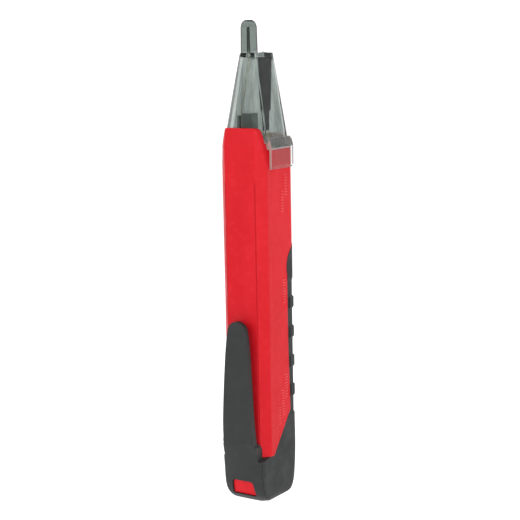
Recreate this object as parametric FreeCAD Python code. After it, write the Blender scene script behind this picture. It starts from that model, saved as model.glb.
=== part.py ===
"""Non contact voltage tester: a pen-shaped tester with a smoked nose, a torch and a pocket clip.

Frame: millimetres, +Z runs up the tool from its tail to the probe, -Y is the front with the power
button, +Y is the back with the pocket clip, and the origin is on the flat tail face, midway between
the front and the back of the body.
"""

import FreeCAD
import Part
import math
import os

V = FreeCAD.Vector

# ---------------------------------------------------------------- driving dimensions
# body section: a box with 45 degree bevels on its back corners and round front corners
HALF_WIDTH = 9.65
BACK = 11.05
FRONT = -11.05
BEVEL = 3.25
FRONT_RADIUS = 3.5
BEVEL_RADIUS = 0.8
WALL = 1.6
SEAM_Y = 5.9  # plane where the front and rear shells meet

# heights
SHELL_BOTTOM = 3.0
REAR_SHELL_BOTTOM = 12.5
SHOULDER_START = 133.0  # above this the rear shell leans in over the nose
FRONT_SHELL_TOP = 131.6
REAR_SHELL_TOP = 139.5
NOSE_TOP = 166.0
PROBE_TOP = 177.8

# nose
COLLAR_BOTTOM = 124.5
COLLAR_GROW = 0.95  # how far the collar stands out from the body's sides
COLLAR_FRONT = -12.1
COLLAR_END_Y = 6.0
COLLAR_STRAIGHT_TOP = 132.6
COLLAR_TOP = 135.7
NOSE_SKIRT_BOTTOM = 122.0
SEAL_THICKNESS = 0.5
NOSE_GAP = 0.08  # clearance between the nose and the shells

# probe: a flat-sided finger with round edges
PROBE_Y = 3.0
PROBE_WIDTH = 6.5
PROBE_DEPTH = 4.5

# sensor
SENSOR_X = 1.9
SENSOR_Y = 5.2
SENSOR_TOP = 175.0
SENSOR_RADIUS = 0.45
SENSOR_LOW = 123.2

# torch
LENS_Y = -6.8
LENS_RADIUS = 2.5
LENS_BOTTOM = 164.6
FUNNEL_BOTTOM = 137.4
FUNNEL_STEP = 144.8  # the cone ends here and the narrow neck starts
FUNNEL_BOTTOM_Y = -6.75

# battery: two cells in line
CELL_RADIUS = 5.25
CELL_LENGTH = 44.5
CELL_NUB = 1.0
CELL_Y = 2.85
CELL_BOTTOM = 11.0
TUBE_INNER = 5.45
TUBE_OUTER = 6.5
TUBE_BOTTOM = 10.3
TUBE_TOP = 102.0

# circuit board
BOARD_BACK = -4.2
BOARD_THICKNESS = 1.0
BOARD_FRONT = BOARD_BACK - BOARD_THICKNESS
BOARD_BOTTOM = 78.0
BOARD_TOP = 134.0
BOARD_HALF = 7.0
BOARD_HALF_TOP = 6.0

# power button and its switch
BUTTON_Z = 88.4
BUTTON_RADIUS = 4.4
BUTTON_FRONT = -12.2
BUTTON_TRAVEL = 0.5
BEZEL_INNER = 4.65
BEZEL_OUTER = 5.6

# rubber grip
GRIP_DEPTH = 0.9  # depth of the seat cut in the shells for the rubber
GRIP_EDGE_Y = -5.0
GRIP_TOP = 95.6
GRIP_BASE_GROW = -0.16
RIB_GROW = 0.42
RIB_HEIGHT = 4.9
RIB_PITCH = 11.25
RIB_FIRST_Z = 37.4
RIB_COUNT = 4
PAD_GROW = 0.15
EDGE_GROW = 0.25  # where the strip starts above the tail
TAIL_SIDE_Z = 17.9  # height of the rubber at the back corners

# battery door, release tab and pocket clip
DOOR_HALF = 8.4
DOOR_FOOT_HALF = 9.5  # the door takes the whole of the tail's back edge below its floor
DOOR_SHOULDER_HALF = 7.2  # half width of the door between the rubber and the clip
DOOR_GAP = 0.1
DOOR_FLOOR = 1.9
DOOR_FLOOR_HALF = 6.9
DOOR_FLOOR_FRONT = -8.3
DOOR_TOP = 24.05
CLIP_BOTTOM = 24.2
CLIP_TOP = 69.4
CLIP_ROOT_HALF = 6.6
WINDOW_LOW = 2.7
WINDOW_HIGH = 8.7
WINDOW_LOW_HALF = 5.2
WINDOW_HIGH_HALF = 4.5
LEDGE_ANGLE = 22.0  # slope of the rubber's top edge beside the door, in degrees
TAB_TRAVEL = 0.8
SPRING_SEAT_Y = 7.1  # where the tab's return spring stands inside the door
SPRING_Z = 5.8

SQRT_HALF = math.sqrt(0.5)
BEVEL_OFFSET = 2.0 - math.sqrt(2.0)  # growth of a 45 degree bevel's leg per unit of offset


# ---------------------------------------------------------------- small helpers
def box(x0, x1, y0, y1, z0, z1):
    return Part.makeBox(x1 - x0, y1 - y0, z1 - z0, V(x0, y0, z0))


def both_sides(x0, x1, y0, y1, z0, z1):
    """The same box on the right and on the left of the middle plane."""
    return [box(x0, x1, y0, y1, z0, z1), box(-x1, -x0, y0, y1, z0, z1)]


def post(x, y, z0, z1, radius):
    """A round bar along Z."""
    return Part.makeCylinder(radius, z1 - z0, V(x, y, z0))


def peg(x, z, y0, y1, radius):
    """A round bar along Y."""
    return Part.makeCylinder(radius, y1 - y0, V(x, y0, z), V(0, 1, 0))


def joined(shapes):
    whole = shapes[0]
    for shape in shapes[1:]:
        whole = whole.fuse(shape)
    return whole.removeSplitter()


def cut(shape, *tools):
    for tool in tools:
        shape = shape.cut(tool)
    return shape


def cut_clear(shape, tool, gap):
    """shape less tool, with a small gap left round the tool on every side."""
    for way in (V(gap, 0, 0), V(-gap, 0, 0), V(0, gap, 0), V(0, -gap, 0), V(0, 0, gap), V(0, 0, -gap)):
        moved = tool.copy()
        moved.translate(way)
        shape = shape.cut(moved)
    return shape


def rounded_wire(points, radii, z, crown=0.0):
    """A closed flat outline at height z, with each corner rounded to its own radius.

    crown is how far the middle of the edge after the fourth corner bulges towards +Y.
    """
    count = len(points)
    starts, ends, arcs = [], [], []
    for i in range(count):
        here = V(points[i][0], points[i][1], z)
        before = V(points[i - 1][0], points[i - 1][1], z) - here
        after = V(points[(i + 1) % count][0], points[(i + 1) % count][1], z) - here
        before.normalize()
        after.normalize()
        half = before.getAngle(after) / 2
        reach = radii[i] / math.tan(half)
        middle = before + after
        middle.normalize()
        centre = here + middle * (radii[i] / math.sin(half))
        starts.append(here + before * reach)
        ends.append(here + after * reach)
        arcs.append(centre - middle * radii[i])
    edges = []
    for i in range(count):
        edges.append(Part.Arc(starts[i], arcs[i], ends[i]).toShape())
        following = starts[(i + 1) % count]
        if crown and i == 3:
            top = (ends[i] + following) * 0.5 + V(0, crown, 0)
            edges.append(Part.Arc(ends[i], top, following).toShape())
        else:
            edges.append(Part.LineSegment(ends[i], following).toShape())
    return Part.Wire(edges)


def six_corner_wire(z, side, back_side, crease, back, bevel_y, front, front_radius, back_radius, crown=0.0):
    """The outline of the body, the nose and the tail: two front corners, and two on each back bevel."""
    points = [
        (-side, front),
        (side, front),
        (back_side, bevel_y),
        (crease, back),
        (-crease, back),
        (-back_side, bevel_y),
    ]
    radii = [front_radius, front_radius, back_radius, back_radius, back_radius, back_radius]
    return rounded_wire(points, radii, z, crown)


def body_wire(z, grow=0.0):
    """The body's outline, offset outwards by grow."""
    side = HALF_WIDTH + grow
    back = BACK + grow
    leg = BEVEL + BEVEL_OFFSET * grow
    return six_corner_wire(
        z, side, side, side - leg, back, back - leg, FRONT - grow, FRONT_RADIUS + grow, BEVEL_RADIUS
    )


def prism(wire, height):
    return Part.Face(wire).extrude(V(0, 0, height))


def body_prism(z0, z1, grow=0.0):
    return prism(body_wire(z0, grow), z1 - z0)


def side_profile(edges, half=14.0):
    """A closed outline of edges in the YZ plane, made solid across the width."""
    face = Part.Face(Part.Wire(Part.sortEdges(edges)[0]))
    solid = face.extrude(V(2 * half, 0, 0))
    solid.translate(V(-half, 0, 0))
    return solid


def yz(y, z):
    return V(0, y, z)


def chain(points):
    """Straight edges from each point to the next."""
    return [Part.LineSegment(a, b).toShape() for a, b in zip(points, points[1:])]


def spline(points):
    curve = Part.BSplineCurve()
    curve.interpolate(points)
    return curve.toShape()


def coil(radius, wire_radius, height, turns, base, axis):
    """A round-wire spring from base along axis, with flat ends left open."""
    pitch = height / turns
    helix = Part.makeHelix(pitch, height, radius)
    section = Part.Wire(Part.makeCircle(wire_radius, V(radius, 0, 0), V(0, 1, 0)))
    solid = Part.Wire(helix).makePipeShell([section], True, True)
    turn = FreeCAD.Rotation(V(0, 0, 1), axis)
    solid.Placement = FreeCAD.Placement(base, turn)
    return solid


# ---------------------------------------------------------------- shared volumes
def tail_volume():
    """The outer shape of the tail: it swells behind the body and rounds in to the flat end."""
    # height, side at the front, side at the back, crease, back, bevel end, front, front radius, back's crown
    sections = [
        (0.0, 7.4, 7.1, 4.6, 8.0, 5.6, -8.8, 3.0, 0.1),
        (1.5, 8.5, 8.5, 6.6, 10.4, 8.9, -10.1, 3.2, 0.2),
        (4.0, 9.1, 8.95, 7.4, 11.9, 10.4, -10.7, 3.3, 0.4),
        (9.0, 9.6, 9.1, 7.85, 12.8, 11.3, -11.1, 3.5, 0.8),
        (15.0, 9.9, 9.2, 7.9, 13.4, 11.4, -11.35, 3.7, 1.0),
        (22.0, 10.0, 9.2, 6.9, 15.2, 12.6, -11.45, 3.8, 0.1),
        (34.0, 10.07, 9.2, 6.6, 16.1, 13.4, -11.47, 3.9, 0.05),
    ]
    wires = []
    for z, side, back_side, crease, back, bevel_y, front, radius, crown in sections:
        wires.append(six_corner_wire(z, side, back_side, crease, back, bevel_y, front, radius, 0.9, crown))
    return Part.makeLoft(wires, True, False)


def grip_region():
    """Side view of everything that the rubber covers: the front strip and the tail."""
    low, far = -1.0, 20.0
    curve = Part.Arc(yz(-10.0, GRIP_TOP), yz(-6.4, 92.6), yz(GRIP_EDGE_Y, 84.5)).toShape()
    edges = [curve]
    edges += chain([yz(GRIP_EDGE_Y, 84.5), yz(GRIP_EDGE_Y, 60.0), yz(-5.9, 33.0), yz(5.9, TAIL_SIDE_Z)])
    edges += chain([yz(5.9, TAIL_SIDE_Z), yz(far, TAIL_SIDE_Z), yz(far, low), yz(-far, low)])
    edges += chain([yz(-far, low), yz(-far, GRIP_TOP), yz(-10.0, GRIP_TOP)])
    return side_profile(edges)


def grip_seat():
    """What the shells lose to make room for the rubber."""
    outside = cut(body_prism(-1.0, 100.0, 1.5), body_prism(-2.0, 101.0, -GRIP_DEPTH))
    return outside.common(grip_region())


def ledge_slope(side):
    """The space above the rubber's top edge beside the door, which falls away from the body's bevel."""
    space = box(-20, 20, -3, 20, 0, 20)
    space.rotate(V(0, 0, 0), V(1, 0, 0), -LEDGE_ANGLE)
    space.rotate(V(0, 0, 0), V(0, 0, 1), -45.0 * side)
    space.translate(V(side * (HALF_WIDTH - BEVEL / 2), BACK - BEVEL / 2, TAIL_SIDE_Z))
    return space


def door_inside():
    """The space inside the battery door, in side view."""
    top = yz(13.1, DOOR_TOP + 1.0)
    inner = spline([yz(8.5, DOOR_FLOOR), yz(10.2, 4.2), yz(11.5, 9.0), yz(12.4, 15.0), yz(12.85, 20.0), top])
    edges = [inner] + chain([top, yz(-20.0, top.z), yz(-20.0, DOOR_FLOOR), yz(8.5, DOOR_FLOOR)])
    return side_profile(edges)


# ---------------------------------------------------------------- shells
def cradle_rib(z, front_side):
    """A rib that holds the battery tube inside one shell."""
    rib = body_prism(z, z + 1.2, -WALL + 0.1)
    keep = box(-12, 12, -15, SEAM_Y - 1.2, 0, 140) if front_side else box(-12, 12, SEAM_Y, 15, 0, 140)
    rib = cut(rib.common(keep), post(0, CELL_Y, z - 1, z + 3, TUBE_OUTER + 0.1))
    if front_side:
        rib = cut(rib, box(-2.4, 2.4, -4.6, 0, z - 1, z + 3))
    return cut(rib, *both_sides(6.0, 8.6, 2.3, 3.4, z - 1, z + 3))


def front_shell():
    outer = body_prism(SHELL_BOTTOM, FRONT_SHELL_TOP)
    inner = body_prism(SHELL_BOTTOM - 1, FRONT_SHELL_TOP + 1, -WALL)
    shell = cut(outer, inner, box(-15, 15, SEAM_Y, 20, 0, 140))
    rebate = cut(body_prism(0, 140, -WALL / 2), box(-15, 15, -20, SEAM_Y - 1.1, -1, 141))
    shell = cut(shell, rebate, grip_seat())
    parts = [shell] + [cradle_rib(z, True) for z in (24.0, 48.0, 70.0)]
    for x in (-6.1, 6.1):
        parts.append(post(x, -7.3, TUBE_BOTTOM + 1.6, 24.5, 1.7))
    for x in (-5.2, 5.2):
        parts.append(peg(x, 104.0, FRONT + WALL - 0.1, BOARD_FRONT, 1.7))
    shell = joined(parts)
    for x in (-6.1, 6.1):
        shell = cut(shell, post(x, -7.3, TUBE_BOTTOM + 1.0, 20.5, 0.75))
    for x in (-5.2, 5.2):
        shell = cut(shell, peg(x, 104.0, BOARD_FRONT - 3.2, BOARD_FRONT + 1, 0.55))
    shell = cut(shell, peg(0, BUTTON_Z, -14, -8, BEZEL_INNER))
    for x, z in ((0, 113.0), (-2.2, 116.5), (2.2, 116.5), (0, 120.0)):
        shell = cut(shell, peg(x, z, -14, -9, 0.55))
    return shell


def rear_top(wall):
    """The rear shell's top, where it leans in over the nose; wall is how far inside the outer face."""
    low = body_wire(SHOULDER_START, -wall)
    high = six_corner_wire(
        REAR_SHELL_TOP + 0.2 * (wall > 0),
        8.6 - 0.8 * wall,
        8.6 - 0.8 * wall,
        5.9 - 0.3 * wall,
        10.6 - 1.2 * wall,
        7.9 - wall,
        FRONT,
        2.0,
        BEVEL_RADIUS,
    )
    return Part.makeLoft([low, high], True, True)


def rear_top_outline():
    """Back view of the rear shell's top edge: flat, then rounding down over both bevels."""
    right = [(5.8, REAR_SHELL_TOP), (6.7, 138.9), (7.4, 137.5), (8.0, 135.6), (8.5, 133.2), (9.1, 129.0)]
    curve = [V(x, 0, z) for x, z in right]
    mirror = [V(-x, 0, z) for x, z in right]
    foot = [V(9.9, 0, 124.5), V(9.9, 0, 0), V(-9.9, 0, 0), V(-9.9, 0, 124.5)]
    edges = [spline(curve), spline(mirror)] + chain([curve[-1]] + foot + [mirror[-1]])
    edges += chain([mirror[0], curve[0]])
    return Part.Face(Part.Wire(Part.sortEdges(edges)[0])).extrude(V(0, 20, 0))


def rear_shell():
    outer = joined([body_prism(REAR_SHELL_BOTTOM, SHOULDER_START), rear_top(0.0)])
    inner = joined([body_prism(REAR_SHELL_BOTTOM - 1, SHOULDER_START, -WALL), rear_top(WALL)])
    lean = side_profile(
        chain(
            [
                yz(SEAM_Y, 0.0),
                yz(SEAM_Y, 131.0),
                yz(6.4, 140.5),
                yz(20.0, 140.5),
                yz(20.0, 0.0),
                yz(SEAM_Y, 0.0),
            ]
        )
    )
    shell = cut(outer, inner).common(lean).common(rear_top_outline())
    shell = cut(shell, grip_seat())
    lip = cut(body_prism(REAR_SHELL_BOTTOM, 121.0, -GRIP_DEPTH - 0.05), body_prism(0, 141, -WALL))
    lip = lip.common(box(-15, 15, SEAM_Y - 1.0, SEAM_Y + 0.5, 0, 141))
    parts = [shell, lip] + [cradle_rib(z, False) for z in (30.0, 58.0, 90.0)]
    shell = joined(parts)
    for side in (-1, 1):
        x = side * (HALF_WIDTH - BEVEL)
        shell = cut(shell, box(x - 0.16, x + 0.16, BACK - 0.3, BACK + 1, 19.0, 120.0))
    return shell


# ---------------------------------------------------------------- nose and torch
def nose_wire(z, inside=False):
    """The nose's outline at height z, on straight lines from its foot to its flat top."""
    # side, crease, back, bevel end, front, front radius
    foot = (9.4, 6.0, 9.0, 6.4, -9.6, 3.0)
    tip = (3.15, 1.7, 5.75, 4.5, -10.0, 3.0)
    if inside:
        foot = (7.9, 5.0, 7.4, 5.2, -8.2, 2.0)
        tip = (2.75, 1.2, 4.6, 3.6, -9.6, 2.6)
    share = (z - 134.0) / (NOSE_TOP - 134.0)
    side, crease, back, bevel_y, front, radius = (a + (b - a) * share for a, b in zip(foot, tip))
    return six_corner_wire(z, side, side, crease, back, bevel_y, front, radius, 0.45)


def collar_wire(z, grow):
    side = HALF_WIDTH + COLLAR_GROW + grow
    return six_corner_wire(
        z, side, side, side - 3.6, 11.5, 8.0, COLLAR_FRONT - grow, FRONT_RADIUS + 0.7 + grow, 0.6
    )


def collar_volume():
    wires = [
        collar_wire(COLLAR_BOTTOM, -0.5),
        collar_wire(COLLAR_BOTTOM + 0.9, 0.0),
        collar_wire(COLLAR_STRAIGHT_TOP, 0.0),
        collar_wire(COLLAR_STRAIGHT_TOP + 2.0, -0.45),
        collar_wire(COLLAR_TOP, -1.15),
    ]
    return Part.makeLoft(wires, True, True).common(box(-15, 15, -20, COLLAR_END_Y, 100, 150))


def probe_wire(z, inset):
    half = PROBE_WIDTH / 2 - inset
    depth = PROBE_DEPTH / 2 - inset
    front, back = PROBE_Y - depth, PROBE_Y + depth
    corners = [(-half, front), (half, front), (half, back), (-half, back)]
    return rounded_wire(corners, [depth - 0.02] * 4, z)


def probe_volume():
    dome = [(2.4, 0.12), (1.3, 0.42), (0.5, 0.98), (0.0, 1.8)]  # depth below the tip, inset
    stem = Part.makeLoft([probe_wire(NOSE_TOP - 4.0, -0.1), probe_wire(PROBE_TOP - 2.4, 0.12)], True, True)
    cap = Part.makeLoft([probe_wire(PROBE_TOP - drop, inset) for drop, inset in dome], True, True)
    return joined([stem, cap])


def nose(rear):
    skirt = body_prism(NOSE_SKIRT_BOTTOM, 136.0, -WALL - 0.1)
    taper = Part.makeLoft([nose_wire(134.0), nose_wire(NOSE_TOP)], True, True)
    solid = joined([skirt, collar_volume(), taper, probe_volume()])
    hollow_low = body_prism(NOSE_SKIRT_BOTTOM - 1, 134.6, -WALL - 1.3)
    hollow_high = Part.makeLoft([nose_wire(134.0, True), nose_wire(NOSE_TOP - 1.5, True)], True, True)
    bore = post(0, PROBE_Y, NOSE_TOP - 6.0, SENSOR_TOP + 0.3, SENSOR_RADIUS + 0.17)
    solid = cut(solid, hollow_low, hollow_high, bore)
    solid = cut(solid, post(0, LENS_Y, NOSE_TOP - 3, NOSE_TOP + 1, LENS_RADIUS + 0.05))
    seat = cut(
        body_prism(COLLAR_BOTTOM - 5, FRONT_SHELL_TOP + SEAL_THICKNESS + NOSE_GAP, NOSE_GAP),
        body_prism(0, 150, -WALL),
    )
    solid = cut(solid, seat.common(box(-15, 15, -20, COLLAR_END_Y + 3, 0, 150)))
    return cut_clear(solid, rear, NOSE_GAP)


def nose_seal():
    ring = cut(
        body_prism(FRONT_SHELL_TOP, FRONT_SHELL_TOP + SEAL_THICKNESS, -0.1),
        body_prism(FRONT_SHELL_TOP - 1, FRONT_SHELL_TOP + 2, -WALL + 0.1),
    )
    return ring.common(box(-15, 15, -20, SEAM_Y - 0.6, 0, 150))


def torch_lens():
    body = post(0, LENS_Y, LENS_BOTTOM, NOSE_TOP, LENS_RADIUS)
    rise = 0.55
    ball_radius = (LENS_RADIUS**2 + rise**2) / (2 * rise)
    ball = Part.makeSphere(ball_radius, V(0, LENS_Y, NOSE_TOP + rise - ball_radius))
    dome = ball.common(post(0, LENS_Y, NOSE_TOP - 0.1, NOSE_TOP + 1, LENS_RADIUS))
    return joined([body, dome])


def torch_funnel():
    """The torch's reflector: a long cone under the lens that ends in a narrow neck over the light."""
    top = LENS_BOTTOM - 0.15
    share = (FUNNEL_STEP - FUNNEL_BOTTOM) / (top - FUNNEL_BOTTOM)
    step_y = FUNNEL_BOTTOM_Y + (LENS_Y - FUNNEL_BOTTOM_Y) * share

    def cone(low_radius, low_y, low, high_radius, high_y, high):
        low_ring = Part.Wire(Part.makeCircle(low_radius, V(0, low_y, low)))
        high_ring = Part.Wire(Part.makeCircle(high_radius, V(0, high_y, high)))
        return Part.makeLoft([low_ring, high_ring], True, True)

    bell = cone(1.75, step_y, FUNNEL_STEP, 2.6, LENS_Y, top)
    neck = cone(1.0, FUNNEL_BOTTOM_Y, FUNNEL_BOTTOM, 1.15, step_y, FUNNEL_STEP + 0.1)
    inside = cone(0.7, FUNNEL_BOTTOM_Y, FUNNEL_BOTTOM - 0.01, 2.2, LENS_Y, top + 0.01)
    return cut(joined([bell, neck]), inside)


def torch_led():
    """A surface-mount light on the board's top edge, with its small dome."""
    base = box(-1.1, 1.1, -7.8, BOARD_FRONT, 134.6, 136.2)
    foot = box(-1.6, 1.6, -6.1, BOARD_FRONT, 131.6, 134.6)
    dome = Part.makeSphere(0.65, V(0, FUNNEL_BOTTOM_Y, 136.2)).common(box(-2, 2, -9, -3, 136.2, 138))
    return joined([base, foot, dome])


# ---------------------------------------------------------------- sensor
def sensor_holder():
    block = box(-2.9, 3.4, 2.7, 6.2, 122.5, 144.6)
    foot = box(-4.6, 4.6, BOARD_BACK, 6.2, 122.5, 124.5)
    brace = box(-0.6, 0.6, -1.5, 3.0, 124.0, 132.0)
    half = SENSOR_RADIUS + 0.15
    slot = box(SENSOR_X - half, SENSOR_X + half, 3.3, 7.0, 125.0, 146.0)
    groove = box(SENSOR_X - half, SENSOR_X + half, -9, SENSOR_Y, 122.0, SENSOR_LOW + half + 0.1)
    bend = box(SENSOR_X - half, SENSOR_X + half, 2.0, SENSOR_Y + half, 122.0, 125.6)
    notch = box(SENSOR_X + half, 4.0, 2, 7, 143.7, 146)
    return cut(joined([block, foot, brace]), slot, groove, bend, notch)


def sensor_rod():
    """The pick-up wire: it runs down the probe, leans over to its holder and turns on to the board."""
    bend = 1.8
    high = V(0, PROBE_Y, SENSOR_TOP)
    low = V(SENSOR_X, SENSOR_Y, SENSOR_LOW + bend)
    line = [high, V(0, PROBE_Y, 163.0), V(SENSOR_X, SENSOR_Y, 147.0), low]
    foot = [V(SENSOR_X, SENSOR_Y - bend, SENSOR_LOW), V(SENSOR_X, BOARD_BACK, SENSOR_LOW)]
    inward = bend * (1 - SQRT_HALF)
    turn = V(SENSOR_X, SENSOR_Y - inward, SENSOR_LOW + inward)
    edges = chain(line) + [Part.Arc(low, turn, foot[0]).toShape()] + chain(foot)
    section = Part.Wire(Part.makeCircle(SENSOR_RADIUS, high, V(0, 0, 1)))
    return Part.Wire(edges).makePipeShell([section], True, True, 2)


# ---------------------------------------------------------------- electronics
def main_board():
    wide = box(-BOARD_HALF, BOARD_HALF, BOARD_FRONT, BOARD_BACK, BOARD_BOTTOM, 120.0)
    narrow = box(-BOARD_HALF_TOP, BOARD_HALF_TOP, BOARD_FRONT, BOARD_BACK, 120.0, BOARD_TOP)
    board = joined([wide, narrow])
    for x in (-5.2, 5.2):
        board = cut(board, peg(x, 104.0, -7, -2, 0.85))
    return board


def board_screws():
    screws = []
    for x in (-5.2, 5.2):
        shank = peg(x, 104.0, BOARD_FRONT - 2.8, BOARD_BACK, 0.55)
        head = peg(x, 104.0, BOARD_BACK, BOARD_BACK + 0.9, 1.5)
        slot = box(x - 0.25, x + 0.25, BOARD_BACK + 0.4, BOARD_BACK + 1.5, 102.9, 105.1)
        cross = box(x - 1.1, x + 1.1, BOARD_BACK + 0.4, BOARD_BACK + 1.5, 103.75, 104.25)
        screws.append(cut(joined([shank, head]), slot, cross))
    return Part.makeCompound(screws)


def control_chip():
    """The controller with its eight legs."""
    z0, z1 = 97.2, 102.4
    parts = [box(-2.0, 2.0, BOARD_FRONT - 1.5, BOARD_FRONT - 0.15, z0, z1)]
    for i in range(4):
        z = z0 + 0.45 + i * 1.27
        for side in (-1, 1):
            x0, x1 = sorted((side * 1.9, side * 3.0))
            parts.append(box(x0, x1, BOARD_FRONT - 0.5, BOARD_FRONT, z, z + 0.45))
    return joined(parts)


def chip_parts():
    """Resistors and capacitors on the front of the board."""
    places = [
        (-5.4, 80.5), (-5.4, 83.5), (5.4, 80.5), (5.4, 83.5), (-5.4, 94.5), (5.4, 94.5),
        (-5.6, 97.5), (5.6, 97.5), (0.0, 106.0), (-5.2, 109.0), (5.2, 109.0), (-5.4, 123.5),
        (5.2, 123.5), (-4.6, 127.5), (4.6, 127.5), (-2.0, 124.5), (2.0, 124.5),
    ]
    solids = []
    for i, (x, z) in enumerate(places):
        tall, long = (0.55, 2.0) if i % 3 else (0.9, 1.6)
        solids.append(box(x - 0.6, x + 0.6, BOARD_FRONT - tall, BOARD_FRONT, z - long / 2, z + long / 2))
    return Part.makeCompound(solids)


def indicator_led(x):
    """A 3 mm light on two legs behind the board, just under the nose."""
    y = BOARD_BACK + 1.8
    low, high = 130.4, 133.0
    body = post(x, y, low, high, 1.5)
    dome = Part.makeSphere(1.5, V(x, y, high)).common(box(x - 2, x + 2, y - 2, y + 2, high, high + 2))
    rim = post(x, y, low, low + 0.6, 1.75)
    legs = []
    for leg_x in (x - 0.85, x + 0.85):
        legs.append(box(leg_x - 0.25, leg_x + 0.25, BOARD_BACK, BOARD_BACK + 0.5, 125.0, low))
    return joined([body, dome, rim] + legs)


def buzzer_case():
    y0, y1 = BOARD_FRONT - 3.6, BOARD_FRONT
    can = peg(0, 116.5, y0, y1, 4.4)
    chamber = peg(0, 116.5, y0 + 0.6, y1 - 1.3, 3.8)
    return cut(can, chamber, peg(0, 116.5, y0 - 1, y1 - 2, 0.8))


def buzzer_disc():
    y0 = BOARD_FRONT - 1.9
    return joined([peg(0, 116.5, y0, y0 + 0.25, 3.75), peg(0, 116.5, y0 - 0.2, y0, 2.6)])


# ---------------------------------------------------------------- switch and button
def switch_body():
    z0, z1 = BUTTON_Z - 3.0, BUTTON_Z + 3.0
    base = box(-3.0, 3.0, BOARD_FRONT - 2.2, BOARD_FRONT, z0, z1)
    legs = []
    for side in (-1, 1):
        for z in (z0 + 0.6, z1 - 1.3):
            x0, x1 = sorted((side * 2.9, side * 3.9))
            legs.append(box(x0, x1, BOARD_FRONT - 0.35, BOARD_FRONT, z, z + 0.7))
    return cut(joined([base] + legs), peg(0, BUTTON_Z, BOARD_FRONT - 3, BOARD_FRONT - 0.3, 1.85))


def switch_cover():
    y1 = BOARD_FRONT - 2.2
    plate = box(-3.0, 3.0, y1 - 0.2, y1, BUTTON_Z - 3.0, BUTTON_Z + 3.0)
    return cut(plate, peg(0, BUTTON_Z, y1 - 1, y1 + 1, 1.85))


def switch_plunger():
    return peg(0, BUTTON_Z, BOARD_FRONT - 3.2, BOARD_FRONT - 1.0, 1.7)


def power_button():
    """A domed cap with a finger hollow, a flange that stops it behind the shell, and a pushing stem."""
    cap = peg(0, BUTTON_Z, BUTTON_FRONT, -9.2, BUTTON_RADIUS)
    cap = cap.makeFillet(0.7, [e for e in cap.Edges if abs(e.BoundBox.YMax - BUTTON_FRONT) < 1e-6])
    flange = peg(0, BUTTON_Z, -9.3, -8.85, 5.3)
    stem = peg(0, BUTTON_Z, -8.9, -8.42, 1.5)
    hollow = Part.makeSphere(16.0, V(0, BUTTON_FRONT - 15.65, BUTTON_Z))
    return cut(joined([cap, flange, stem]), hollow)


def button_bezel():
    ring = cut(peg(0, BUTTON_Z, -11.75, -10.15, BEZEL_OUTER), peg(0, BUTTON_Z, -13, -9, BEZEL_INNER))
    edges = [e for e in ring.Edges if abs(e.BoundBox.YMax + 11.75) < 1e-6 and e.Length > 10]
    return ring.makeFillet(0.3, edges)


# ---------------------------------------------------------------- battery bay
def battery_tube():
    tube = post(0, CELL_Y, TUBE_BOTTOM, TUBE_TOP, TUBE_OUTER)
    tube = cut(tube, post(0, CELL_Y, 0, TUBE_TOP - 1.4, TUBE_INNER))
    flange = body_prism(TUBE_BOTTOM, TUBE_BOTTOM + 1.5, -WALL - 0.1)
    flange = cut(flange, post(0, CELL_Y, 0, 50, TUBE_INNER))
    fins = both_sides(TUBE_OUTER - 0.2, 7.9, CELL_Y - 0.3, CELL_Y + 0.3, TUBE_BOTTOM + 1.5, 98.0)
    tube = joined([tube, flange] + fins)
    slots = both_sides(4.7, 6.5, 6.9, 12.0, 0, 30.0)
    tube = cut(tube, box(-2.3, 2.3, -10.0, CELL_Y - TUBE_OUTER + 0.02, 0, 30.0), *slots)
    tube = cut(tube, box(-1.6, 1.6, -6.0, CELL_Y + 2.5, TUBE_TOP - 0.6, TUBE_TOP + 1))
    tube = cut(tube, post(0, CELL_Y, 90, TUBE_TOP + 1, 2.6))
    for x in (-6.1, 6.1):
        tube = cut(tube, post(x, -7.3, 0, 30, 0.85))
    return tube


def tail_screws():
    screws = []
    for x in (-6.1, 6.1):
        shank = post(x, -7.3, TUBE_BOTTOM, 19.0, 0.75)
        head = post(x, -7.3, TUBE_BOTTOM - 1.1, TUBE_BOTTOM, 1.45)
        slot = box(x - 0.25, x + 0.25, -8.4, -6.2, TUBE_BOTTOM - 1.2, TUBE_BOTTOM - 0.55)
        cross = box(x - 1.1, x + 1.1, -7.55, -7.05, TUBE_BOTTOM - 1.2, TUBE_BOTTOM - 0.55)
        screws.append(cut(joined([shank, head]), slot, cross))
    return Part.makeCompound(screws)


def cell(z0):
    """One cell: a steel can with its raised positive end."""
    top = z0 + CELL_LENGTH
    can = post(0, CELL_Y, z0, top - CELL_NUB, CELL_RADIUS - 0.15)
    nub = post(0, CELL_Y, top - CELL_NUB - 0.1, top, 1.9)
    return joined([can, nub])


def cell_sleeve(z0):
    low, high = z0 + 0.3, z0 + CELL_LENGTH - CELL_NUB - 0.3
    return cut(post(0, CELL_Y, low, high, CELL_RADIUS), post(0, CELL_Y, 0, 200, CELL_RADIUS - 0.15))


def upper_contact():
    """The positive contact: a dished plate in the tube's end, and a strap forward to the board."""
    top = CELL_BOTTOM + 2 * CELL_LENGTH
    stem = post(0, CELL_Y, top + 0.05, TUBE_TOP - 0.3, 2.3)
    strap = box(-1.5, 1.5, BOARD_BACK, CELL_Y + 1.5, TUBE_TOP - 0.6, TUBE_TOP - 0.3)
    return joined([stem, strap])


def return_strip():
    """The negative strap along the outside of the tube, from the door's contact to the board."""
    y1 = CELL_Y - TUBE_OUTER - 0.08
    strap = box(-1.8, 1.8, y1 - 0.3, y1, 4.6, 82.0)
    pad = box(-1.2, 1.2, BOARD_BACK, y1 - 0.25, 79.0, 82.0)
    return joined([strap, pad])


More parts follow.
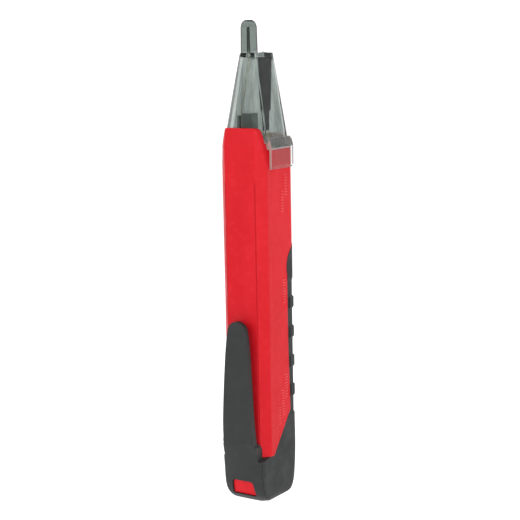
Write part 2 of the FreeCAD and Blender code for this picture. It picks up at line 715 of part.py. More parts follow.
# ---------------------------------------------------------------- rubber grip
def grip_rib(z):
    """One raised rib of the grip, with sloped edges; it runs round both front corners."""
    wires = [
        body_wire(z, GRIP_BASE_GROW - 0.02),
        body_wire(z + 0.8, RIB_GROW),
        body_wire(z + RIB_HEIGHT - 0.5, RIB_GROW),
        body_wire(z + RIB_HEIGHT, GRIP_BASE_GROW - 0.02),
    ]
    return Part.makeLoft(wires, True, True).common(box(-15, 15, -20, -6.2, 0, 140))


def grip(tail):
    strip = body_prism(28.0, 97.0, GRIP_BASE_GROW)
    pad_wires = [
        body_wire(81.6, GRIP_BASE_GROW - 0.02),
        body_wire(82.9, PAD_GROW),
        body_wire(GRIP_TOP + 1, PAD_GROW),
    ]
    pad = Part.makeLoft(pad_wires, True, True)
    tail_top = tail.common(box(-15, 15, -20, 20, -1, 30.9))
    edge = Part.makeLoft([body_wire(30.2, EDGE_GROW), body_wire(31.6, GRIP_BASE_GROW - 0.02)], True, True)
    ribs = [grip_rib(RIB_FIRST_Z + i * RIB_PITCH) for i in range(RIB_COUNT)]
    solid = joined([strip, pad, tail_top, edge] + ribs).common(grip_region())
    solid = cut(solid, body_prism(SHELL_BOTTOM, 100.0, -GRIP_DEPTH), ledge_slope(1), ledge_slope(-1))
    reach = DOOR_HALF + DOOR_GAP
    solid = cut(solid, box(-reach, reach, 6.9, 20, -1, 30), box(-15, 15, 6.9, 20, -1, DOOR_FLOOR + DOOR_GAP))
    floor = DOOR_FLOOR_HALF + DOOR_GAP
    solid = cut(solid, box(-floor, floor, DOOR_FLOOR_FRONT - DOOR_GAP, 8, -1, SHELL_BOTTOM + 0.01))
    return cut(solid, peg(0, BUTTON_Z, -14, -9, BEZEL_OUTER))


# ---------------------------------------------------------------- battery door, tab and clip
def window_tool(margin, depth0, depth1):
    """The release tab's window, with round corners, cut straight along Y."""
    low_half, high_half = WINDOW_LOW_HALF - margin, WINDOW_HIGH_HALF - margin
    low, high = WINDOW_LOW + margin, WINDOW_HIGH - margin
    corners = [(-low_half, low), (low_half, low), (high_half, high), (-high_half, high)]
    wire = rounded_wire(corners, [0.5, 0.5, 1.5 - margin, 1.5 - margin], 0.0)
    solid = Part.Face(wire).extrude(V(0, 0, depth1 - depth0))
    solid.Placement = FreeCAD.Placement(V(0, depth1, 0), FreeCAD.Rotation(V(1, 0, 0), 90))
    return solid


def door_back():
    """The door's back plate, with shoulders below the clip's root, and its walls over the body's bevels."""
    foot = [(DOOR_FOOT_HALF, -1.0), (DOOR_FOOT_HALF, DOOR_FLOOR), (DOOR_HALF, DOOR_FLOOR)]
    shoulder = [(DOOR_HALF, 19.0), (DOOR_SHOULDER_HALF, 19.0), (DOOR_SHOULDER_HALF, 22.4)]
    right = foot + shoulder + [(CLIP_ROOT_HALF, 23.3), (CLIP_ROOT_HALF, DOOR_TOP)]
    outline = [V(x, 0, z) for x, z in right] + [V(-x, 0, z) for x, z in reversed(right)]
    plate = Part.Face(Part.makePolygon(outline + outline[:1])).extrude(V(0, 13.0, 0))
    plate.translate(V(0, 7.0, 0))
    bottom = yz(7.0, 15.5)
    side_view = chain([bottom, yz(8.7, 18.1), yz(11.9, 23.4), yz(20, 23.4), yz(20, 15.5), bottom])
    walls = side_profile(side_view).common(plate)
    walls = cut(walls, box(-5.9, 5.9, 0, 20, 0, 30), body_prism(0, 40, 0.12))
    return cut(plate, door_inside()), walls


def battery_door(tail):
    plate, walls = door_back()
    floor = box(-DOOR_FLOOR_HALF, DOOR_FLOOR_HALF, DOOR_FLOOR_FRONT, 7.5, -1, DOOR_FLOOR)
    door = joined([tail.common(plate), tail.common(walls), cut(tail.common(floor), door_inside())])
    for side in (-1, 1):
        beside = both_sides(DOOR_SHOULDER_HALF, 15, 0, 20, 15, 40)[side < 0]
        door = cut(door, ledge_slope(side).common(beside))
    door = cut(door, window_tool(0.0, 5.0, 20.0))
    spring_wall = box(-2.6, 2.6, 6.7, SPRING_SEAT_Y, DOOR_FLOOR - 0.1, 7.6)
    cup = cut(post(0, CELL_Y, DOOR_FLOOR - 0.1, 3.2, 4.45), post(0, CELL_Y, DOOR_FLOOR - 1, 5, 4.1))
    cup = cut(cup, box(-1.6, 1.6, -9, CELL_Y, 0, 9))
    return joined([door, spring_wall, cup])


def door_contact():
    """The negative contact plate on the door's floor, with a tongue that touches the strap."""
    plate = box(-1.4, 1.4, -4.9, CELL_Y, DOOR_FLOOR, DOOR_FLOOR + 0.3)
    disc = post(0, CELL_Y, DOOR_FLOOR, DOOR_FLOOR + 0.3, 3.8)
    tongue = box(-1.4, 1.4, -4.75, -4.45, DOOR_FLOOR, 8.4)
    bead = box(-1.4, 1.4, -4.45, -4.08, 6.2, 7.4)
    return joined([plate, disc, tongue, bead])


def door_spring():
    return coil(3.3, 0.35, CELL_BOTTOM - DOOR_FLOOR - 1.15, 4.0, V(0, CELL_Y, DOOR_FLOOR + 0.72), V(0, 0, 1))


def release_tab():
    face = side_profile(
        [spline([yz(10.9, 2.5), yz(11.7, 5.0), yz(12.35, 7.5), yz(12.7, 10.0)])]
        + chain([yz(12.7, 10.0), yz(10.3, 10.0), yz(8.4, 2.5), yz(10.9, 2.5)])
    )
    pad = face.common(window_tool(0.15, 5.0, 20.0))
    outer = [yz(8.9, 2.6), yz(10.25, 5.2), yz(11.25, 9.9)]
    inner = [yz(10.3, 9.9), yz(9.5, 5.2), yz(8.3, 2.6)]
    flange = side_profile(chain(outer + inner + outer[:1])).common(box(-6.1, 6.1, 0, 20, 0, 20))
    seat = peg(0, SPRING_Z, SPRING_SEAT_Y + 1.0 + TAB_TRAVEL, 9.9, 1.4)
    bridge = box(-6.1, 6.1, 8.0, 10.6, 8.7, 9.9)
    arms = both_sides(5.0, 6.1, 8.0, 8.85, 9.0, 16.0)
    return joined([pad, flange, bridge, seat] + arms)


def release_spring():
    """The tab's return spring, at its length when the tab is pressed home."""
    wire = 0.13
    return coil(1.0, wire, 0.95 - 2 * wire, 2.0, V(0, SPRING_SEAT_Y + wire + 0.02, SPRING_Z), V(0, 1, 0))


def clip_outline():
    """Back view of the pocket clip: wide at its root, narrow and round at its free end."""
    right = [(CLIP_ROOT_HALF, CLIP_BOTTOM), (6.4, 29.5), (6.05, 37.0), (5.3, 51.7), (4.35, 63.0), (3.9, 66.0)]
    edges = [spline([V(x, 0, z) for x, z in right]), spline([V(-x, 0, z) for x, z in right])]
    edges.append(Part.Arc(V(3.9, 0, 66.0), V(0, 0, CLIP_TOP), V(-3.9, 0, 66.0)).toShape())
    edges += chain([V(CLIP_ROOT_HALF, 0, CLIP_BOTTOM), V(-CLIP_ROOT_HALF, 0, CLIP_BOTTOM)])
    solid = Part.Face(Part.Wire(Part.sortEdges(edges)[0])).extrude(V(0, 30, 0))
    return solid


def pocket_clip():
    # height, inner face, outer face
    stations = [
        (CLIP_BOTTOM, 13.1, 15.5),
        (29.0, 13.6, 15.9),
        (36.0, 13.85, 16.05),
        (46.0, 13.8, 15.85),
        (57.0, 13.6, 15.5),
        (70.0, 13.35, 15.15),
    ]
    inner = [yz(near, z) for z, near, far in stations]
    outer = [yz(far, z) for z, near, far in stations]
    edges = [spline(outer), spline(inner)]
    edges += chain([outer[-1], inner[-1]]) + chain([outer[0], inner[0]])
    arm = side_profile(edges).common(clip_outline())
    bead = Part.makeCylinder(1.35, 6.0, V(-3.0, 13.35, 63.4), V(1, 0, 0))
    return joined([arm, bead])


# ---------------------------------------------------------------- export
def main():
    os.makedirs("parts", exist_ok=True)
    tail = tail_volume()
    rear = rear_shell()
    lower, upper = CELL_BOTTOM, CELL_BOTTOM + CELL_LENGTH
    nodes = {
        "front_shell": front_shell(),
        "rear_shell": rear,
        "nose": nose(rear),
        "nose_seal": nose_seal(),
        "torch_lens": torch_lens(),
        "torch_funnel": torch_funnel(),
        "torch_led": torch_led(),
        "sensor_holder": sensor_holder(),
        "sensor_rod": sensor_rod(),
        "main_board": main_board(),
        "board_screws": board_screws(),
        "control_chip": control_chip(),
        "chip_parts": chip_parts(),
        "indicator_led_red": indicator_led(-3.6),
        "indicator_led_green": indicator_led(3.6),
        "buzzer_case": buzzer_case(),
        "buzzer_disc": buzzer_disc(),
        "switch_body": switch_body(),
        "switch_cover": switch_cover(),
        "switch_plunger": switch_plunger(),
        "power_button": power_button(),
        "button_bezel": button_bezel(),
        "battery_tube": battery_tube(),
        "tail_screws": tail_screws(),
        "lower_cell": cell(lower),
        "lower_cell_sleeve": cell_sleeve(lower),
        "upper_cell": cell(upper),
        "upper_cell_sleeve": cell_sleeve(upper),
        "upper_contact": upper_contact(),
        "return_strip": return_strip(),
        "rubber_grip": grip(tail),
        "battery_door": battery_door(tail),
        "door_contact": door_contact(),
        "door_spring": door_spring(),
        "release_tab": release_tab(),
        "release_spring": release_spring(),
        "pocket_clip": pocket_clip(),
    }
    for name, shape in nodes.items():
        shape.exportStep(f"parts/{name}.step")
        print(f"{name:22s} valid {shape.isValid()} solids {len(shape.Solids)} volume {shape.Volume:9.1f}")


main()
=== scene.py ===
"""Looks of the non contact voltage tester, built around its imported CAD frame. Lengths are in metres."""

import math

import bmesh
import bpy
from mathutils import Matrix, Vector


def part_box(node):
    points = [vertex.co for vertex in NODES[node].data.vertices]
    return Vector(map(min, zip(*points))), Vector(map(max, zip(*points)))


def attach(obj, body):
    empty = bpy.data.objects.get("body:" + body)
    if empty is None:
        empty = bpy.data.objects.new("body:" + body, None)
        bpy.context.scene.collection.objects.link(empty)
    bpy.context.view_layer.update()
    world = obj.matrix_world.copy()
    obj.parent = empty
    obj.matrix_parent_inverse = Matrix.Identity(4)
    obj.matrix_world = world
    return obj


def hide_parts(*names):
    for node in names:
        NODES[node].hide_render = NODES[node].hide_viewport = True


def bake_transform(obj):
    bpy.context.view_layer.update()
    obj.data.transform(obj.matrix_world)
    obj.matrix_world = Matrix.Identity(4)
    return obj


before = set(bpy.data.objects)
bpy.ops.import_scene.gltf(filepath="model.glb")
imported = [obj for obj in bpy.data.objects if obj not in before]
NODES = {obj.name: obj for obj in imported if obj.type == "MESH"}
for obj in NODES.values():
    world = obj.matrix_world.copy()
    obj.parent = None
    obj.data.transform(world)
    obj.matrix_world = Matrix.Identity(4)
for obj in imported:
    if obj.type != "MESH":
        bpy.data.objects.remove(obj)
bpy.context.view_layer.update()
scene = bpy.context.scene
MM = 0.001

# ---------------------------------------------------------------- places in the frame
COLLAR_TOP = 0.1357  # the top of the nose's collar
CHAMFER_BOTTOM = 0.1326  # the collar leans inwards from here to its top
NOSE_TOP = 0.1660  # the flat face beside the probe
LENS_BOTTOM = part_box("torch_lens")[0].z
FLOOR = -0.105  # just under the lowest point that the battery door slides to

# ---------------------------------------------------------------- palette, linear RGB
RED = (0.590, 0.010, 0.018)
RED_LIGHT = (0.665, 0.026, 0.036)
RED_DEEP = (0.52, 0.006, 0.012)
RUBBER = (0.022, 0.023, 0.023)
RUBBER_LIGHT = (0.034, 0.035, 0.035)
CHARCOAL = (0.021, 0.022, 0.022)
CHARCOAL_LIGHT = (0.033, 0.035, 0.035)
NEAR_BLACK = (0.010, 0.011, 0.011)


# ---------------------------------------------------------------- material graphs
class Graph:
    """One material's node tree, with short calls for the nodes that the materials share."""

    def __init__(self, name):
        self.material = bpy.data.materials.new(name)
        self.material.use_nodes = True
        self.tree = self.material.node_tree
        self.tree.nodes.clear()
        self.output = self.add("ShaderNodeOutputMaterial")
        places = self.add("ShaderNodeTexCoord")
        self.coords = places.outputs["Object"]
        self.normals = places.outputs["Normal"]

    def add(self, kind, **settings):
        node = self.tree.nodes.new(kind)
        for key, value in settings.items():
            setattr(node, key, value)
        return node

    def join(self, source, target):
        self.tree.links.new(source, target)

    def parts(self, vector):
        """A vector's X, Y and Z outputs."""
        node = self.add("ShaderNodeSeparateXYZ")
        self.join(vector, node.inputs["Vector"])
        return node.outputs

    def stretched(self, x, y, z):
        """The object's coordinates, scaled along each axis."""
        node = self.add("ShaderNodeMapping")
        node.inputs["Scale"].default_value = (x, y, z)
        self.join(self.coords, node.inputs["Vector"])
        return node.outputs["Vector"]

    def noise(self, per_metre, detail=3.0, roughness=0.55, coords=None):
        node = self.add("ShaderNodeTexNoise")
        node.inputs["Scale"].default_value = per_metre
        node.inputs["Detail"].default_value = detail
        node.inputs["Roughness"].default_value = roughness
        self.join(coords or self.coords, node.inputs["Vector"])
        return node.outputs["Fac"]

    def cells(self, per_metre):
        node = self.add("ShaderNodeTexVoronoi")
        node.inputs["Scale"].default_value = per_metre
        self.join(self.coords, node.inputs["Vector"])
        return node.outputs["Distance"]

    def spread(self, value, low, high, to_low=0.0, to_high=1.0):
        """Maps low..high onto to_low..to_high, with the ends held."""
        node = self.add("ShaderNodeMapRange", interpolation_type="SMOOTHSTEP")
        node.inputs["From Min"].default_value = low
        node.inputs["From Max"].default_value = high
        node.inputs["To Min"].default_value = to_low
        node.inputs["To Max"].default_value = to_high
        self.join(value, node.inputs["Value"])
        return node.outputs["Result"]

    def sums(self, operation, first, second):
        """An arithmetic node; either side may be a plain number."""
        node = self.add("ShaderNodeMath", operation=operation)
        for socket, value in zip(node.inputs, (first, second)):
            if isinstance(value, (int, float)):
                socket.default_value = value
            else:
                self.join(value, socket)
        return node.outputs["Value"]

    def blend(self, factor, first, second):
        """A colour between first and second; each is a plain colour or a socket."""
        node = self.add("ShaderNodeMix", data_type="RGBA")
        self.join(factor, node.inputs["Factor"])
        for socket, value in zip((node.inputs[6], node.inputs[7]), (first, second)):
            if isinstance(value, tuple):
                socket.default_value = (*value, 1.0)
            else:
                self.join(value, socket)
        return node.outputs[2]

    def rounded(self, radius):
        """The surface normal, as if every sharp edge had this radius."""
        node = self.add("ShaderNodeBevel", samples=6)
        node.inputs["Radius"].default_value = radius
        return node.outputs["Normal"]

    def edges(self, radius):
        """0 on flat stretches, rising to 1 along edges."""
        plain = self.add("ShaderNodeNewGeometry").outputs["Normal"]
        node = self.add("ShaderNodeVectorMath", operation="DOT_PRODUCT")
        self.join(self.rounded(radius), node.inputs[0])
        self.join(plain, node.inputs[1])
        return self.spread(node.outputs["Value"], 0.995, 0.80)

    def bump(self, height, depth, normal=None):
        node = self.add("ShaderNodeBump")
        node.inputs["Strength"].default_value = 1.0
        node.inputs["Distance"].default_value = depth
        self.join(height, node.inputs["Height"])
        if normal:
            self.join(normal, node.inputs["Normal"])
        return node.outputs["Normal"]

    def surface(self, colour, roughness, normal=None, **plain):
        """The Principled shader; extra keyword values are set straight on its sockets."""
        shader = self.add("ShaderNodeBsdfPrincipled")
        for key, value in plain.items():
            shader.inputs[key.replace("_", " ")].default_value = value
        for socket, value in (("Base Color", colour), ("Roughness", roughness), ("Normal", normal)):
            if value is None:
                continue
            if isinstance(value, tuple):
                shader.inputs[socket].default_value = (*value, 1.0)
            elif isinstance(value, (int, float)):
                shader.inputs[socket].default_value = value
            else:
                self.join(value, shader.inputs[socket])
        self.join(shader.outputs["BSDF"], self.output.inputs["Surface"])
        return shader


def moulded_plastic(name, dark, base, light, gloss=0.44, grain=0.012, specular=0.25):
    """Moulded plastic: a fine spark-eroded grain, faint flow mottling and edges painted lighter, partly as
    wear and partly as a painted highlight.
    """
    g = Graph(name)
    flow = g.noise(55.0, 4.0, 0.6, g.stretched(1.0, 1.0, 0.35))
    mottle = g.noise(420.0, 3.0)
    colour = g.blend(g.spread(flow, 0.30, 0.72), dark, base)
    colour = g.blend(g.sums("MULTIPLY", g.spread(mottle, 0.45, 0.85), 0.35), colour, light)
    # painted lighter along the edges: partly wear, partly a painted highlight
    colour = g.blend(g.sums("MULTIPLY", g.edges(0.35 * MM), 0.55), colour, light)
    fine = g.noise(5200.0, 2.0, 0.6)
    smears = g.noise(160.0, 4.0, 0.6)
    roughness = g.spread(smears, 0.3, 0.75, gloss - 0.06, gloss + 0.07)
    normal = g.bump(fine, grain * MM, g.rounded(0.22 * MM))
    g.surface(colour, roughness, normal, Specular_IOR_Level=specular)
    return g.material


def soft_rubber(name, base, light):
    """Overmoulded rubber: matt, with a pebbled grain, handling smears and edges painted paler."""
    g = Graph(name)
    pebbles = g.cells(2600.0)
    fine = g.noise(7000.0, 2.0, 0.6)
    height = g.sums("ADD", g.spread(pebbles, 0.0, 0.6, 1.0, 0.0), g.sums("MULTIPLY", fine, 0.6))
    smears = g.noise(120.0, 5.0, 0.62)
    colour = g.blend(g.spread(smears, 0.35, 0.75), base, light)
    # the edges are painted paler than the rest of the rubber
    paler_edge_tone = tuple(min(1.5 * c, 0.8) for c in light)
    colour = g.blend(g.sums("MULTIPLY", g.edges(0.45 * MM), 0.7), colour, paler_edge_tone)
    roughness = g.spread(smears, 0.3, 0.75, 0.70, 0.56)
    normal = g.bump(height, 0.014 * MM, g.rounded(0.3 * MM))
    g.surface(colour, roughness, normal, Specular_IOR_Level=0.25)
    return g.material


def smoked_clear(name):
    """Smoked polycarbonate: polished and faintly rippled; painted shade darkens its edges and its top, the
    probe is tinted darker with a painted shade outline, and the collar's edges get a painted highlight.
    """
    g = Graph(name)
    ripple = g.noise(140.0, 2.0, 0.5, g.stretched(1.0, 1.0, 0.3))
    scuffs = g.noise(900.0, 5.0, 0.7, g.stretched(1.0, 1.0, 0.25))
    place = g.parts(g.coords)
    height = place["Z"]
    fade_low = COLLAR_TOP - 1.2 * MM
    fade_high = COLLAR_TOP + 1.8 * MM
    above_collar = g.spread(height, fade_low, fade_high)
    collar = g.spread(height, fade_high, fade_low)
    rim = g.add("ShaderNodeLayerWeight")
    rim.inputs["Blend"].default_value = 0.35
    facing = rim.outputs["Facing"]
    creases = g.edges(0.55 * MM)
    # painted shade tone for the nose's edges and for its top beside the torch
    dark = (0.05, 0.065, 0.06)
    streaks = g.noise(330.0, 4.0, 0.6, g.stretched(1.0, 1.0, 0.10))
    smoke = g.blend(g.spread(streaks, 0.36, 0.64), (0.41, 0.445, 0.43), (0.60, 0.64, 0.62))
    centre = g.blend(above_collar, (0.97, 0.97, 0.97), smoke)
    # along the edges: a painted highlight on the collar, painted shade above it
    painted_edge_tone = g.blend(above_collar, (0.90, 0.88, 0.88), dark)
    # painted shade where the surface turns edge-on
    colour = g.blend(g.spread(facing, 0.37, 0.60), centre, painted_edge_tone)
    # the probe is tinted darker, with a painted shade outline where it turns edge-on
    probe = g.blend(g.spread(facing, 0.20, 0.42), (0.21, 0.24, 0.225), (0.02, 0.025, 0.023))
    colour = g.blend(g.spread(height, NOSE_TOP - 0.5 * MM, NOSE_TOP + 1.0 * MM), colour, probe)
    # painted shade along the creases, and a painted highlight on the collar's creases
    colour = g.blend(g.sums("MULTIPLY", creases, 0.75), colour, painted_edge_tone)
    # painted shade: the top is darkest on the torch's side
    forward = g.spread(place["Y"], -1.0 * MM, -3.0 * MM)
    near_lens = g.spread(height, LENS_BOTTOM - 1.8 * MM, LENS_BOTTOM - 0.1 * MM)
    lens_side_shade = g.sums("MULTIPLY", near_lens, forward)
    colour = g.blend(g.sums("MULTIPLY", lens_side_shade, 0.9), colour, dark)
    # the collar's edges and rear ends are painted pale as a painted highlight and its chamfer painted grey
    # as a painted reflection; all three are also made rougher and less clear, as if frosted
    ends = g.spread(g.parts(g.normals)["Y"], 0.75, 0.95)
    frost_and_highlight = g.sums("MULTIPLY", g.sums("MAXIMUM", creases, ends), collar)
    above_start = g.spread(height, CHAMFER_BOTTOM - 0.4 * MM, CHAMFER_BOTTOM + 0.4 * MM)
    below_end = g.spread(height, COLLAR_TOP + 0.9 * MM, COLLAR_TOP - 0.3 * MM)
    chamfer = g.sums("MULTIPLY", above_start, below_end)
    # painted reflection: the chamfer is painted grey
    colour = g.blend(chamfer, colour, (0.33, 0.35, 0.33))
    # painted highlight: the collar's edges and rear ends are painted pale
    colour = g.blend(frost_and_highlight, colour, (0.55, 0.36, 0.34))
    frost_and_highlight = g.sums("MAXIMUM", frost_and_highlight, g.sums("MULTIPLY", chamfer, 0.3))
    clear = g.sums("SUBTRACT", 1.0, g.sums("MULTIPLY", frost_and_highlight, 0.7))
    roughness = g.sums("ADD", g.spread(scuffs, 0.40, 0.78, 0.035, 0.12), g.sums("MULTIPLY", frost_and_highlight, 0.45))
    normal = g.bump(ripple, 0.035 * MM, g.rounded(0.25 * MM))
    # a lower index than polycarbonate's 1.58, and a dimmed reflection, so that the double walls look clear
    # over the dark pieces and not milky
    shader = g.surface(colour, roughness, normal, IOR=1.3, Specular_Tint=(0.30, 0.30, 0.30, 1.0))
    g.join(clear, shader.inputs["Transmission Weight"])
    volume = g.add("ShaderNodeVolumeAbsorption")
    volume.inputs["Color"].default_value = (0.50, 0.56, 0.54, 1.0)
    volume.inputs["Density"].default_value = 80.0
    g.join(volume.outputs["Volume"], g.output.inputs["Volume"])
    return g.material


def clear_lens(name):
    """Clear acrylic with faint moulding rings."""
    g = Graph(name)
    rings = g.noise(1500.0, 2.0)
    normal = g.bump(rings, 0.006 * MM, g.rounded(0.15 * MM))
    g.surface((0.93, 0.96, 0.95), g.spread(rings, 0.3, 0.7, 0.03, 0.08), normal,
              Transmission_Weight=1.0, IOR=1.49)
    return g.material


def tinted_epoxy(name, base, glow):
    """A small light's coloured epoxy body."""
    g = Graph(name)
    cloud = g.noise(900.0, 3.0)
    colour = g.blend(g.spread(cloud, 0.3, 0.75), base, glow)
    normal = g.bump(cloud, 0.01 * MM, g.rounded(0.15 * MM))
    g.surface(colour, g.spread(cloud, 0.3, 0.7, 0.12, 0.22), normal,
              Subsurface_Weight=0.3, Subsurface_Scale=0.001, Coat_Weight=0.4)
    return g.material


def bare_metal(name, base, light, rough=0.28, lie=(1.0, 1.0, 12.0)):
    """Metal with fine drawn lines, spots of tarnish and bright edges."""
    g = Graph(name)
    lines = g.noise(2600.0, 3.0, 0.7, g.stretched(*lie))
    tarnish = g.noise(420.0, 4.0, 0.6)
    colour = g.blend(g.spread(tarnish, 0.35, 0.75), light, base)
    colour = g.blend(g.sums("MULTIPLY", g.edges(0.2 * MM), 0.8), colour, light)
    roughness = g.spread(lines, 0.3, 0.75, rough - 0.06, rough + 0.12)
    normal = g.bump(lines, 0.006 * MM, g.rounded(0.1 * MM))
    g.surface(colour, roughness, normal, Metallic=1.0)
    return g.material


def circuit_board(name):
    """Green resist over copper tracks, with a faint glass weave."""
    g = Graph(name)
    brick = g.add("ShaderNodeTexBrick", offset=0.37, squash=1.0)
    brick.inputs["Scale"].default_value = 210.0
    brick.inputs["Mortar Size"].default_value = 0.035
    turn = g.add("ShaderNodeMapping")
    turn.inputs["Rotation"].default_value = (math.radians(90), 0.0, 0.0)
    g.join(g.coords, turn.inputs["Vector"])
    g.join(turn.outputs["Vector"], brick.inputs["Vector"])
    tracks = brick.outputs["Fac"]
    weave = g.noise(2500.0, 2.0, 0.5, g.stretched(1.0, 1.0, 0.2))
    resist = g.blend(g.spread(weave, 0.3, 0.7), (0.006, 0.075, 0.030), (0.010, 0.110, 0.045))
    colour = g.blend(tracks, resist, (0.030, 0.210, 0.080))
    height = g.sums("ADD", g.sums("MULTIPLY", tracks, 0.7), g.sums("MULTIPLY", weave, 0.3))
    g.surface(colour, g.spread(weave, 0.3, 0.7, 0.22, 0.34), g.bump(height, 0.03 * MM), Coat_Weight=0.3)
    return g.material


def cell_wrap(name, low, high):
    """A shrink sleeve: a dark body with one pale band near its positive end and a fine gloss."""
    g = Graph(name)
    height = g.parts(g.coords)["Z"]
    span = high - low
    band = g.spread(height, low + 0.76 * span, low + 0.77 * span)
    line = g.spread(height, low + 0.735 * span, low + 0.745 * span)
    streaks = g.noise(300.0, 3.0)
    body = g.blend(g.spread(streaks, 0.3, 0.75), (0.020, 0.030, 0.060), (0.030, 0.044, 0.080))
    colour = g.blend(line, body, (0.55, 0.56, 0.58))
    colour = g.blend(band, colour, (0.42, 0.44, 0.47))
    normal = g.bump(streaks, 0.02 * MM, g.rounded(0.15 * MM))
    g.surface(colour, g.spread(streaks, 0.3, 0.75, 0.20, 0.30), normal, Coat_Weight=0.5)
    return g.material


def pale_floor(name):
    """Pale paper that glows a little, so that it stays as pale far from the lights."""
    g = Graph(name)
    grain = g.noise(35.0, 3.0)
    colour = g.blend(g.spread(grain, 0.2, 0.8), (0.70, 0.70, 0.70), (0.72, 0.72, 0.72))
    g.surface(colour, 0.9, None, Emission_Color=(1.0, 1.0, 1.0, 1.0), Emission_Strength=0.55,
              Specular_IOR_Level=0.1)
    return g.material


# ---------------------------------------------------------------- dressing the CAD nodes
def dress(material, *names):
    """Gives the named CAD nodes this material."""
    for name in names:
        mesh = NODES[name].data
        if not mesh.materials:
            mesh.materials.append(material)
        for index in range(len(mesh.materials)):
            mesh.materials[index] = material


def dress_nodes():
    red = moulded_plastic("red_plastic", RED_DEEP, RED, RED_LIGHT, specular=0.12)
    grip = soft_rubber("grip_rubber", RUBBER, RUBBER_LIGHT)
    charcoal = moulded_plastic("charcoal_plastic", CHARCOAL, CHARCOAL, CHARCOAL_LIGHT, 0.50, 0.016)
    black = moulded_plastic("black_plastic", NEAR_BLACK, (0.014, 0.015, 0.015), (0.03, 0.03, 0.03), 0.35)
    inner = moulded_plastic("inner_plastic", (0.03, 0.03, 0.032), (0.04, 0.04, 0.042), (0.07, 0.07, 0.07))
    nickel = bare_metal("nickel", (0.50, 0.48, 0.43), (0.74, 0.72, 0.66))
    steel = bare_metal("zinc_steel", (0.40, 0.40, 0.41), (0.66, 0.66, 0.67), 0.32, (1.0, 12.0, 1.0))
    can = bare_metal("cell_can", (0.52, 0.52, 0.53), (0.78, 0.78, 0.78), 0.24)
    dress(red, "front_shell", "rear_shell", "button_bezel", "release_tab")
    dress(grip, "rubber_grip", "power_button")
    dress(soft_rubber("pale_silicone", (0.52, 0.52, 0.50), (0.62, 0.62, 0.60)), "nose_seal")
    dress(charcoal, "battery_door", "pocket_clip")
    door_with_clip()
    dress(black, "control_chip", "switch_body", "switch_plunger", "buzzer_case")
    matt_black = moulded_plastic(
        "matt_black", (0.003, 0.004, 0.0035), (0.022, 0.027, 0.025), (0.09, 0.10, 0.095), 0.7, specular=0.08)
    dress(matt_black, "torch_funnel")
    grey = moulded_plastic("grey_plastic", (0.36, 0.38, 0.37), (0.46, 0.48, 0.47), (0.58, 0.60, 0.58))
    dress(grey, "sensor_holder")
    dress(inner, "battery_tube")
    dress(smoked_clear("smoked_clear"), "nose")
    dress(clear_lens("clear_lens"), "torch_lens")
    dress(tinted_epoxy("torch_epoxy", (0.80, 0.72, 0.30), (0.92, 0.88, 0.62)), "torch_led")
    dress(tinted_epoxy("red_epoxy", (0.50, 0.36, 0.34), (0.66, 0.52, 0.50)), "indicator_led_red")
    dress(tinted_epoxy("green_epoxy", (0.36, 0.48, 0.37), (0.52, 0.64, 0.52)), "indicator_led_green")
    dress(tinted_epoxy("chip_ceramic", (0.10, 0.07, 0.05), (0.45, 0.40, 0.34)), "chip_parts")
    dress(nickel, "sensor_rod", "switch_cover", "upper_contact", "return_strip", "door_contact")
    dress(steel, "board_screws", "tail_screws", "door_spring", "release_spring")
    dress(bare_metal("brass", (0.55, 0.38, 0.14), (0.83, 0.65, 0.30)), "buzzer_disc")
    dress(can, "lower_cell", "upper_cell")
    dress(circuit_board("circuit_board"), "main_board")
    for name in ("lower_cell_sleeve", "upper_cell_sleeve"):
        low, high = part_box(name)
        dress(cell_wrap(name + "_wrap", low.z, high.z), name)
    # the ticks are a paler red than the body, with lighter edges
    side_marks(moulded_plastic("paler_red", RED, (0.70, 0.035, 0.045), (0.80, 0.11, 0.12)))


# ---------------------------------------------------------------- battery door and clip
def copy_of(name):
    """A CAD node's mesh, with its material, as a new object in the frame."""
    mesh = NODES[name].data.copy()
    mesh.transform(NODES[name].matrix_world)
    piece = bpy.data.objects.new(name + "_copy", mesh)
    scene.collection.objects.link(piece)
    return piece


def door_with_clip():
    """The door and its clip in one object, as they are one moulding."""
    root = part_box("pocket_clip")[0].z
    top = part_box("battery_door")[1].z
    door = copy_of("battery_door")
    clip = copy_of("pocket_clip")
    back = max(vertex.co.y for vertex in door.data.vertices if vertex.co.z > top - 0.01 * MM)
    # the clip's root reaches 0.2 mm down into the door and is flush with its back
    for vertex in clip.data.vertices:
        if vertex.co.z < root + 0.01 * MM:
            vertex.co.z = top - 0.2 * MM
            if vertex.co.y > back - 1.0 * MM:
                vertex.co.y = back
    with bpy.context.temp_override(active_object=door, selected_editable_objects=[door, clip]):
        bpy.ops.object.join()
    door.name = door.data.name = "door_with_clip"
    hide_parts("battery_door", "pocket_clip")
    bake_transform(door)


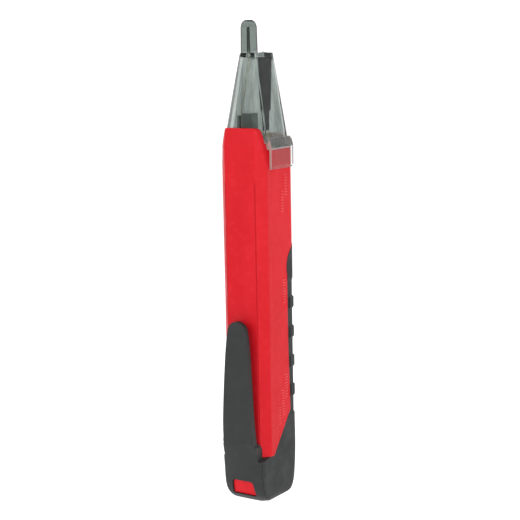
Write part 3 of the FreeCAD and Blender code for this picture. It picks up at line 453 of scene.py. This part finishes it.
# ---------------------------------------------------------------- moulded marks
def side_marks(red):
    """Generic raised ticks in rows on the handle's left side, where the real one has small moulded marks."""
    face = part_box("front_shell")[0].x
    # y of the row, lowest height, highest height, half length of a tick, in millimetres
    rows = [
        (-4.6, 114.5, 122.0, 1.0),
        (-2.2, 108.5, 116.0, 0.8),
        (-2.6, 74.5, 83.5, 0.9),
        (-2.9, 38.5, 47.0, 1.1),
        (-0.6, 32.0, 42.0, 1.0),
        (2.0, 29.0, 36.0, 0.9),
    ]
    pitch, half_height, rise = 1.05, 0.24, 0.14
    shape = bmesh.new()
    for y, low, high, half in rows:
        for i in range(int((high - low) / pitch) + 1):
            size = Matrix.Diagonal((4 * rise * MM, 2 * half * MM, 2 * half_height * MM, 1.0))
            place = Vector((face + rise * MM, y * MM, (low + i * pitch) * MM))
            bmesh.ops.create_cube(shape, size=1.0, matrix=Matrix.Translation(place) @ size)
    bmesh.ops.bevel(shape, geom=shape.edges[:], offset=0.08 * MM, segments=2, affect="EDGES", profile=0.5)
    mesh = bpy.data.meshes.new("side_marks")
    shape.to_mesh(mesh)
    shape.free()
    for polygon in mesh.polygons:
        polygon.use_smooth = True
    mesh.materials.append(red)
    piece = bpy.data.objects.new("side_marks", mesh)
    scene.collection.objects.link(piece)
    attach(piece, "handle")


# ---------------------------------------------------------------- studio
def soft_box(name, place, target, size, power):
    """A rectangular studio light that faces its target."""
    data = bpy.data.lights.new(name, "AREA")
    data.shape = "RECTANGLE"
    data.size, data.size_y = size
    data.energy = power
    lamp = bpy.data.objects.new(name, data)
    scene.collection.objects.link(lamp)
    lamp.location = place
    lamp.rotation_euler = (Vector(target) - Vector(place)).to_track_quat("-Z", "Y").to_euler()


def studio():
    """White surroundings and three soft lights, named as the camera sees them, round a pale floor."""
    scene.view_settings.view_transform = "Standard"
    world = bpy.data.worlds.new("studio")
    world.use_nodes = True
    background = world.node_tree.nodes["Background"]
    background.inputs["Color"].default_value = (1.0, 1.0, 1.0, 1.0)
    background.inputs["Strength"].default_value = 0.70
    scene.world = world
    middle = (0.0, 0.0, 0.09)
    soft_box("left_box", (0.45, 0.75, 0.55), middle, (0.7, 0.7), 2.2)
    soft_box("right_box", (-0.75, 0.45, 0.40), middle, (0.5, 0.8), 2.8)
    soft_box("far_box", (0.30, -0.90, 0.60), middle, (0.9, 0.6), 4.0)
    # the floor is a disc, and a low wall rings it far away
    reach = 12.0
    wall_height = 3.3
    sides = 64
    turns = [math.tau * i / sides for i in range(sides)]
    foot = [(reach * math.cos(turn), reach * math.sin(turn), FLOOR) for turn in turns]
    rim = [(x, y, z + wall_height) for x, y, z in foot]
    wall_faces = [(i, (i + 1) % sides, sides + (i + 1) % sides, sides + i) for i in range(sides)]
    paper = pale_floor("floor_paper")
    sheets = (("floor", foot, [tuple(range(sides))]), ("backdrop", foot + rim, wall_faces))
    for name, corners, faces in sheets:
        mesh = bpy.data.meshes.new(name)
        mesh.from_pydata(corners, [], faces)
        mesh.materials.append(paper)
        sheet = bpy.data.objects.new(name, mesh)
        scene.collection.objects.link(sheet)


def camera():
    """The camera stands behind and to the left side of the tool, a little above its middle."""
    data = bpy.data.cameras.new("camera")
    data.sensor_width = 36.0
    data.lens = 94.4
    data.clip_start = 0.01
    data.clip_end = 200.0
    place = Vector((-0.2723, 0.4178, 0.1740))
    target = Vector((0.0, -0.00155, 0.0898))
    view = (target - place).to_track_quat("-Z", "Y").to_matrix().to_4x4()
    roll = Matrix.Rotation(math.radians(-1.08), 4, "Z")
    holder = bpy.data.objects.new("camera", data)
    scene.collection.objects.link(holder)
    holder.matrix_world = Matrix.Translation(place) @ view @ roll
    scene.camera = holder


camera()
dress_nodes()
studio()
